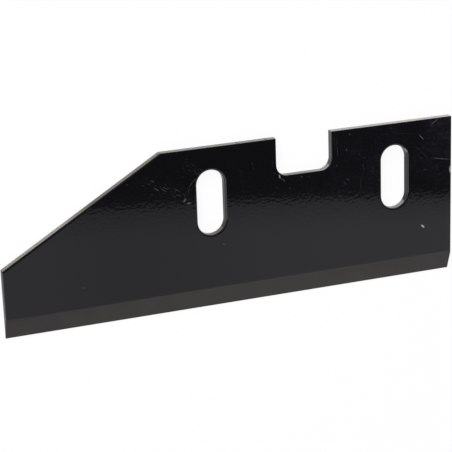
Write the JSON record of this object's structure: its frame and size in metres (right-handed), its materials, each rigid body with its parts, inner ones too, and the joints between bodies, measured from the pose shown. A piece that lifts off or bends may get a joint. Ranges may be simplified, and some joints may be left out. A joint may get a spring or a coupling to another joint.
{
  "type": "chopper knife",
  "caption": "Flat bevelled steel blade with a slanted toe, a notched back edge and obround bolt slots, for a forage or straw chopper.",
  "frame": {"origin": "on the flat seat face, midway between the centres of the two bolt slots", "axes": "+X along the blade to the square heel, +Y across it from the cutting edge to the slotted back edge, +Z out of the ground side; the knife lies on its flat back"},
  "size_m": [0.2875, 0.1, 0.005],
  "materials": {
    "black_paint": "gloss"
  },
  "bodies": {
    "root": {"chopper_knife": "black_paint"}
  },
  "joints": []
}
